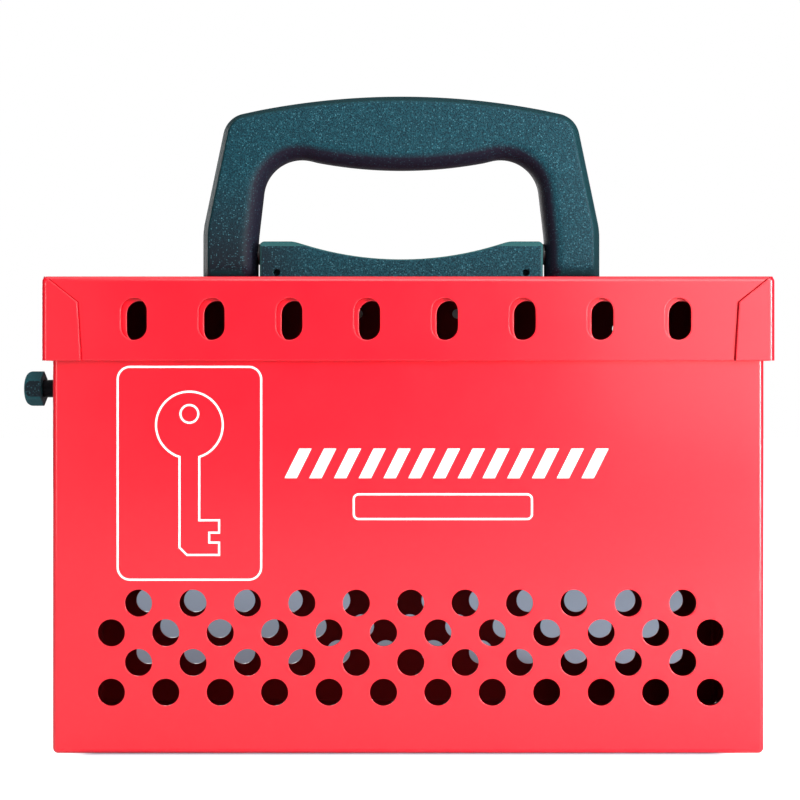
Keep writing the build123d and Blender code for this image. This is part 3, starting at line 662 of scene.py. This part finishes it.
# %% [markdown]
# ## The handle's arch
#
# The real handle has a soft section. Its outside drafts forwards from a rim in the middle of its
# depth, its face is slightly crowned, and the edge round the hand opening is rolled so far that
# fingers meet no corner. Such a moulding leaves its tool along Y, hence the draft. The
# engineering model has plain fillets instead. Here the arch is one surface of two parameters,
# the way along the arch and the way round its section, spanned between the two outlines.

# %% Shape the handle
half_depth = 10.0 * mm
draft, draft_depth = 2.9 * mm, 8.6 * mm
face_inset, face_depth = 4.7 * mm, 9.72 * mm
knee_reach = 1.12  # how far the draft's line is carried on to bend the edge, as a share of it
roll, flat_inside = 7.5 * mm, 1.6 * mm
edge_points, face_points, roll_points = 8, 17, 15
smooth_reach = 3  # points on either side that a direction is averaged over


def inward(path, side):
    """Directions square to a path, to its right for side 1 and to its left for side -1."""
    along = np.gradient(path, axis=0)
    along /= np.linalg.norm(along, axis=1)[:, None]
    padded = np.pad(along, ((smooth_reach, smooth_reach), (0, 0)), mode="edge")
    mean = np.mean([padded[i:i + len(along)] for i in range(2 * smooth_reach + 1)], 0)
    mean /= np.linalg.norm(mean, axis=1)[:, None]
    return side * np.c_[mean[:, 1], -mean[:, 0]]


def arch_section():
    """The front half of the section, from the rim to the opening. Each point has a distance from
    the outside's outline, one from the opening's, its share between the two, and its depth: a
    straight draft, a small curved edge, a face that swells by a quarter of a sine wave, and a
    quarter of an ellipse."""
    t = np.linspace(0, 1, edge_points)
    rows = [np.c_[draft * t[:-1], 0 * t[:-1], 0 * t[:-1], draft_depth * t[:-1]]]
    knee = (draft * knee_reach, face_depth)
    edge = [(1 - t) ** 2 * a + 2 * t * (1 - t) * b + t ** 2 * c for a, b, c in (
        (draft, knee[0], face_inset), (draft_depth, knee[1], face_depth))]
    rows.append(np.c_[edge[0][:-1], 0 * t[:-1], 0 * t[:-1], edge[1][:-1]])
    t = np.linspace(0, 1, face_points + 1)[:-1]
    swell = face_depth + (half_depth - face_depth) * np.sin(t * math.pi / 2)
    rows.append(np.c_[np.full(face_points, face_inset), np.full(face_points, roll), t, swell])
    turn = np.linspace(0, math.pi / 2, roll_points)
    ellipse = flat_inside + (half_depth - flat_inside) * np.cos(turn)
    rows.append(np.c_[0 * turn, roll * (1 - np.sin(turn)), 0 * turn + 1, ellipse])
    return np.vstack(rows)


def arch_surface():
    """The arch's points as a grid of stations by section. Near the arms' ends the depth shrinks
    by a quarter circle."""
    front = arch_section()
    loop = np.vstack([front * (1, 1, 1, -1), front[:0:-1]])
    from_outer, from_inner, share, depth = (column[None, :, None] for column in loop.T)
    near = outer[:, None] + inward(outer, 1)[:, None] * from_outer
    far = inner[:, None] + inward(inner, -1)[:, None] * from_inner
    flat = (1 - share) * near + share * far
    below = np.clip(foot_z + foot_round - flat[..., 1], 0, foot_round)
    allowed = half_depth - foot_round + np.sqrt(foot_round ** 2 - below ** 2)
    y = depth[..., 0] * allowed / half_depth
    return np.stack([arch_middle[0] + flat[..., 0], y, arch_middle[1] + flat[..., 1]], 2)


arch = arch_surface()
print("arch: stations and points round each:", arch.shape[:2])

# %% [markdown]
# ## Bores and a finished handle
#
# Each arm turns on a pin, so its inner side has a round bore. In a mould the bore is a core that
# slides out sideways. The surface above can't have a hole and keep its plain grid, so the bore
# is taken out afterwards with a round tool, as a drill would. The arms' ends are rounded as in
# the engineering model, so they still swing past the lid.

# %% Cut the bores
bore_clearance = 0.1 * mm
bore_points = 48
bore_start = 55.0 * mm  # from the handle's middle: inside the opening, clear of the arms
bore_beyond = 0.3 * mm  # past the pins' ends
sharp_angle = 35  # degrees between faces from which an edge is shaded sharp


def grid_faces(stations, around):
    """Quads over a grid whose second direction closes on itself, and a flat face at each end."""
    station, side = np.meshgrid(np.arange(stations - 1), np.arange(around), indexing="ij")
    beside = (side + 1) % around
    quads = np.stack(
        [station * around + side, (station + 1) * around + side,
         (station + 1) * around + beside, station * around + beside], 2
    ).reshape(-1, 4)
    ends = [list(range(around - 1, -1, -1)), list(range((stations - 1) * around, stations * around))]
    return quads.tolist() + ends


def cut_bores(piece):
    """Takes a round bore for each pivot out of the arms' inner sides."""
    low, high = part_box("handle_pivots")
    radius = (high.z - low.z) / 2 + bore_clearance
    turn = np.linspace(0, 2 * math.pi, bore_points, endpoint=False)
    around = np.c_[np.cos(turn), np.sin(turn)] * radius
    middle_x = (low.x + high.x) / 2
    for side in (-1, 1):
        ends = middle_x + side * np.array([bore_start, (high.x - low.x) / 2 + bore_beyond])
        rings = np.stack([
            np.c_[np.full(bore_points, x), around[:, 0], (low.z + high.z) / 2 + around[:, 1]]
            for x in sorted(ends)
        ])
        tool = new_piece("bore", rings, grid_faces(2, bore_points))
        cut = piece.modifiers.new("bore", "BOOLEAN")
        cut.operation, cut.object, cut.solver = "DIFFERENCE", tool, "EXACT"
        ready = piece.evaluated_get(bpy.context.evaluated_depsgraph_get())
        mesh = bpy.data.meshes.new_from_object(ready)
        piece.modifiers.clear()
        piece.data = mesh
        bpy.data.objects.remove(tool)


def make_handle():
    """The handle as a detailed piece in place of the plain one."""
    handle = new_piece("handle_arch", arch, grid_faces(*arch.shape[:2]), handle_teal)
    cut_bores(handle)
    handle.data.polygons.foreach_set("use_smooth", np.full(len(handle.data.polygons), True))
    handle.data.set_sharp_from_angle(angle=math.radians(sharp_angle))
    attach(handle, "handle")
    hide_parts("handle_grip")
    return handle


handle = make_handle()
print("handle faces:", len(handle.data.polygons))

# %% [markdown]
# ## Small metal and plastic parts
#
# The hinge, rivets, bush and brackets are zinc plated steel: a grey metal with a blotchy gloss.
# The button's shaft is blackened steel, the friction washers are black nylon and the threaded
# inserts brass. Each gets one recipe with its own colours, because they differ only in those and
# in how rough they are.

# %% Finish the small parts
blotch_size = 6.0 * mm
gloss_drift = 0.08
metal_edge = 0.15 * mm
pit_size, pit_depth = 0.8 * mm, 0.006 * mm


def plain_metal(name, colour, darker, roughness, metallic=1.0):
    """Metal or plastic whose colour and gloss drift from spot to spot, with softened edges."""
    metal = Finish(name, Metallic=metallic)
    drift = noise(metal, blotch_size, detail=4.0)
    metal.wire(ramp(metal, drift, *usual_noise, darker, colour), "Base Color")
    rough, smooth = roughness + gloss_drift, roughness - gloss_drift
    metal.wire(between(metal, drift, *usual_noise, rough, smooth), "Roughness")
    edges = rounded_edges(metal, metal_edge)
    metal.wire(bumped(metal, noise(metal, pit_size, detail=3.0), pit_depth, edges), "Normal")
    return metal.material


zinc = plain_metal("zinc_plate", linear(205, 207, 206), linear(176, 180, 184), 0.36)
black_steel = plain_metal("black_oxide", linear(26, 25, 28), linear(14, 14, 17), 0.34)
nylon = plain_metal("black_nylon", linear(24, 24, 26), linear(16, 16, 18), 0.55, metallic=0.0)
brass = plain_metal("brass", linear(205, 172, 98), linear(184, 148, 80), 0.30)
spring_steel = plain_metal("spring_wire", linear(190, 190, 192), linear(150, 150, 156), 0.28)

finish_nodes(
    zinc, "hinge_leaf_case", "hinge_leaf_lid", "hinge_pin", "case_rivets", "lid_rivets",
    "lid_catch", "button_bush", "bush_nut", "guide_bracket", "handle_pivots", "backing_plate",
    "screw_washers", "saddle_screws",
)
finish_nodes(black_steel, "button_shaft")
finish_nodes(nylon, "pivot_washers")
finish_nodes(brass, "saddle_inserts")
print("small parts:", [m.name for m in (zinc, black_steel, nylon, brass, spring_steel)])

# %% [markdown]
# ## Lines for a drawing
#
# Such boxes have a white print on the front. It could be a colour in the paint's material, but
# then every curve of the drawing would have to be written as shading. As geometry it is simple: a
# thin ribbon carried along a path. At a corner its edges run on until they meet those of the next
# run, as in the mitre of a picture frame, so that a line keeps its width.

# %% Draw with ribbons
sharpest_mitre = 0.4  # the least cosine of half a turn, so narrow corners don't run out too far
corner_points = 10  # on each round corner of a frame


def arc(centre, radius, start, end, count):
    """Points round part of a circle, from one angle to another in degrees."""
    turn = np.radians(np.linspace(start, end, count))
    return np.array(centre) + radius * np.c_[np.cos(turn), np.sin(turn)]


def rounded_frame(centre, width, height, radius):
    """A rectangle with round corners: four quarter circles, joined by the straight sides."""
    half = np.array([width / 2 - radius, height / 2 - radius])
    corners = [(1, 1, 0), (-1, 1, 90), (-1, -1, 180), (1, -1, 270)]
    return np.vstack([
        arc(np.array(centre) + half * (sx, sy), radius, turn, turn + 90, corner_points)
        for sx, sy, turn in corners
    ])


def ribbon(path, width, closed):
    """Left and right edges of a ribbon: each point moves half the width along the mean of its
    neighbouring normals, stretched by one over the cosine of half the turn."""
    before = np.roll(path, 1, 0) if closed else np.vstack([2 * path[0] - path[1], path[:-1]])
    after = np.roll(path, -1, 0) if closed else np.vstack([path[1:], 2 * path[-1] - path[-2]])
    ahead = after - path
    behind = path - before
    ahead /= np.linalg.norm(ahead, axis=1)[:, None]
    behind /= np.linalg.norm(behind, axis=1)[:, None]
    normal = np.c_[-(ahead + behind)[:, 1], (ahead + behind)[:, 0]]
    normal /= np.linalg.norm(normal, axis=1)[:, None]
    square = np.c_[-ahead[:, 1], ahead[:, 0]]
    reach = width / 2 / np.maximum((normal * square).sum(1), sharpest_mitre)
    return path + normal * reach[:, None], path - normal * reach[:, None]


bend = np.array([[0.0, 0.0], [10.0, 0.0], [10.0, 10.0]])
print("a 2 mm line turns at:", [edge[1].round(3).tolist() for edge in ribbon(bend, 2.0, False)])

# %% [markdown]
# ## Films of ink
#
# Screen print lies on the paint as a film a few hundredths of a millimetre thick with crisp
# edges. A flat sheet just above the paint would look the same, but light would leak in below it.
# So each line becomes a closed shell, sunk a little into the paint and risen a little above it,
# and all lines of one drawing are joined into one piece.

# %% Lay films of ink
ink_rise, ink_sink = 0.06 * mm, 0.02 * mm


def film(left, right, closed, front=case_low.y):
    """A thin film between two edges, as a closed shell. Its section is a flat rectangle, whose
    four corners run along the path: both edges, sunk into the paint and risen above it."""
    sunk, risen = front + ink_sink, front - ink_rise
    count = len(left)
    rows = [(right, sunk), (right, risen), (left, risen), (left, sunk)]
    points = np.stack([np.c_[p[:, 0], np.full(count, y), p[:, 1]] for p, y in rows], 1)
    ring = np.arange(count) if closed else np.arange(count - 1)
    following = (ring + 1) % count
    side = np.arange(4)
    a = ring[:, None] * 4 + side
    b = ring[:, None] * 4 + (side + 1) % 4
    c = following[:, None] * 4 + (side + 1) % 4
    d = following[:, None] * 4 + side
    faces = np.stack([a, d, c, b], 2).reshape(-1, 4)
    if not closed:
        last = 4 * (count - 1)
        faces = np.vstack([faces, [0, 1, 2, 3], [last + 3, last + 2, last + 1, last]])
    return points.reshape(-1, 3), faces


def film_piece(name, films, material, body):
    """Several films joined into one piece that rides on a body."""
    starts = np.cumsum([0] + [len(points) for points, _ in films[:-1]])
    points = np.vstack([points for points, _ in films])
    faces = np.vstack([faces + start for (_, faces), start in zip(films, starts)])
    piece = new_piece(name, points, faces.tolist(), material)
    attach(piece, body)
    return piece


print("ink film in mm:", round((ink_rise + ink_sink) / mm, 3))

# %% [markdown]
# ## White ink
#
# The ink is a satin white that was pressed through a fine mesh. It covers slightly unevenly, with
# a hint of the red below. Plain white would do from afar, but beside glossy paint the eye sees
# that ink is duller, so cover and gloss both follow one soft noise.

# %% Mix the white ink
ink_thin, ink_full = linear(250, 236, 234), linear(255, 250, 248)
cover_size, cover_range = 1.2 * mm, (0.25, 0.75)
ink_rough = (0.42, 0.52)
ink_dip_size, ink_dip_depth = 0.5 * mm, 0.004 * mm


def printed_white():
    """Satin white ink: slightly uneven cover, and a hint of the red below."""
    ink = Finish("screen_print_white")
    cover = noise(ink, cover_size, detail=3.0)
    ink.wire(ramp(ink, cover, *cover_range, ink_thin, ink_full), "Base Color")
    ink.wire(between(ink, cover, *usual_noise, *ink_rough), "Roughness")
    ink.wire(bumped(ink, noise(ink, ink_dip_size), ink_dip_depth), "Normal")
    return ink.material


ink_white = printed_white()
print("ink:", ink_white.name)

# %% [markdown]
# ## The screen print
#
# What is drawn here belongs to no maker: a plain key in a frame, a row of hazard stripes, and a
# blank strip to write on. A picture could be laid on instead, but its edges would blur up close. A
# key is a circle and a few straight lines, so it is given as an arc and a short list of corners,
# in millimetres from the foot of its stem's right side.

# %% Print the front
line = 0.85 * mm
frame_centre, frame_size, frame_corner = (-88.4 * mm, 113.5 * mm), (58.0 * mm, 86.0 * mm), 5.0 * mm
strip_centre, strip_size, strip_corner = (14.0 * mm, 100.0 * mm), (72.0 * mm, 10.0 * mm), 2.0 * mm
key_x, key_top = frame_centre[0], frame_centre[1] + 33.0 * mm
bow_radius, stem_half, key_length = 13.5 * mm, 4.0 * mm, 66.0 * mm
hole_radius, hole_rise = 3.6 * mm, 4.5 * mm
bow_points, hole_points = 48, 33
key_corners = [
    (-8, 3), (-5, 0), (-1, 0), (8, 0), (8, 5), (4, 5), (4, 9), (8, 9), (8, 14), (0, 14)
]


def key_outline():
    """A key that hangs by its round bow: the bow's arc runs into two straight sides of the stem,
    with two teeth on the right."""
    open_angle = math.degrees(math.asin(stem_half / bow_radius))
    bow_centre = (key_x, key_top - bow_radius)
    bow = arc(bow_centre, bow_radius, -90 + open_angle, 270 - open_angle, bow_points)
    stem = np.array(key_corners) * mm + (key_x + stem_half, key_top - key_length)
    return np.vstack([bow, stem])


def stripe_row(left, low, height, count, pitch, width, slant):
    """Slanted bars: each is a short ribbon whose edges lean, so its ends stay level."""
    bars = []
    for i in range(count):
        x = left + i * pitch
        near = np.array([[x, low], [x + slant, low + height]])
        bars.append(film(near, near + (width, 0), False))
    return bars


key_hole = arc((key_x, key_top - bow_radius + hole_rise), hole_radius, 0, 360, hole_points)[:-1]
outlines = [rounded_frame(frame_centre, *frame_size, frame_corner), key_outline(), key_hole]
badge = [film(*ribbon(outline, line, True), True) for outline in outlines]
stripes = stripe_row(
    left=-50.0 * mm, low=111.5 * mm, height=12.0 * mm, count=13, pitch=10.0 * mm, width=5.0 * mm,
    slant=6.0 * mm,
)
strip = rounded_frame(strip_centre, *strip_size, strip_corner)
film_piece("print_key_badge", badge, ink_white, "case")
film_piece("print_stripes", stripes, ink_white, "case")
film_piece("print_name_strip", [film(*ribbon(strip, line, True), True)], ink_white, "case")

# %% [markdown]
# ## Seams of the corner tabs
#
# The lid's side tabs are wrapped over its front flange and welded from inside. The narrow gap
# beside a tab lies in shade, so a dark line follows its edge. The gap could be cut into the lid,
# but no picture shows its depth, only its colour, so its shade is painted on a ribbon too.

# %% Line the seams
seam_width = 0.5 * mm
mitre_top, mitre_foot = (144.6, 191.9), (132.75, 182.5)  # X and Z in millimetres
tab_foot = (131.25, 159.15)
seam_points = 12  # along each of the edge's two runs
# painted shadow in the gap beside each tab
seam_shadow_dark, seam_shadow_light = linear(140, 5, 18), linear(185, 9, 30)
seam_tone_size = 3.0 * mm


def painted_gap_shadow():
    """Painted shadow in a gap: a thin, matt, dark red coat."""
    gap = Finish("seam_shadow", Roughness=0.7, Specular_IOR_Level=0.1)
    tone = noise(gap, seam_tone_size)
    gap.wire(ramp(gap, tone, *usual_noise, seam_shadow_dark, seam_shadow_light), "Base Color")
    return gap.material


def tab_seams():
    """Both tabs' edges, from the mitre's top down to the flange's lower edge."""
    path = np.array([mitre_top, mitre_foot, tab_foot]) * mm
    path = np.vstack([resample(path[:2], seam_points), resample(path[1:], seam_points)[1:]])
    edges = [ribbon(path * (side, 1), seam_width, False) for side in (-1, 1)]
    return [film(left, right, False, lid_low.y + wall) for left, right in edges]


seams = tab_seams()
film_piece("lid_seam_shadows", seams, painted_gap_shadow(), "lid")
print("seams:", len(seams), "of", seam_width / mm, "mm")

# %% [markdown]
# ## The button's spring
#
# A wound steel spring pushes the button out. In the engineering model it can't change length.
# Here it is wound again as a tube along a helix, with its end turns laid flat. A helix is a circle
# walked at a steady climb, so the whole tube is one formula of two parameters: the way along the
# wire and the way round it.

# %% Wind the spring
wire = 0.9 * mm
spring_turns = 7
closed_turns, closed_pitch = 0.9, 1.15  # turns laid flat at each end, and their climb in wires
turn_points, wire_points = 48, 12


def wound_tube(low_x, high_x, centre, radius, turns, thickness):
    """A tube round a helix along X. The climb is held back near both ends, so the end turns lie
    flat. Each ring of the tube lies across the wire: half its width outwards from the axis, and
    half its height square to that and to the wire's direction."""
    along = np.linspace(0, 1, turn_points * turns + 1)[:, None]
    around = np.linspace(0, 2 * math.pi, wire_points + 1)[None, :-1]
    turn = 2 * math.pi * turns * along
    dead = closed_turns / turns
    climb = np.clip((along - dead) / (1 - 2 * dead), 0, 1)
    pitch = closed_pitch * thickness
    flat = pitch * (np.clip(along / dead, 0, 1) + np.clip((along - 1 + dead) / dead, 0, 1))
    x = low_x + thickness / 2 + flat + climb * (high_x - low_x - thickness - 2 * pitch)
    outward = np.stack([np.zeros_like(turn), np.cos(turn), np.sin(turn)], 2)
    core = np.concatenate([x[..., None], centre[0] + radius * outward[..., 1:2],
                           centre[1] + radius * outward[..., 2:3]], 2)
    ahead = np.gradient(core[:, 0, :], axis=0)
    ahead /= np.linalg.norm(ahead, axis=1)[:, None]
    upward = np.cross(ahead, outward[:, 0, :])[:, None, :]
    ring = np.cos(around)[..., None] * outward + np.sin(around)[..., None] * upward
    return core + thickness / 2 * ring


def wind_spring():
    """The spring between the button's collar and its bracket, in place of the plain one."""
    low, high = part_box("button_spring")
    centre = ((low.y + high.y) / 2, (low.z + high.z) / 2)
    radius = (high.z - low.z) / 2 - wire / 2
    points = wound_tube(low.x, high.x, centre, radius, spring_turns, wire)
    spring = new_piece("wound_spring", points, grid_faces(*points.shape[:2]), spring_steel, True)
    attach(spring, "case")
    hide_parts("button_spring")
    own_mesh(spring)
    return spring


spring = wind_spring()
print("spring points:", len(spring.data.vertices))
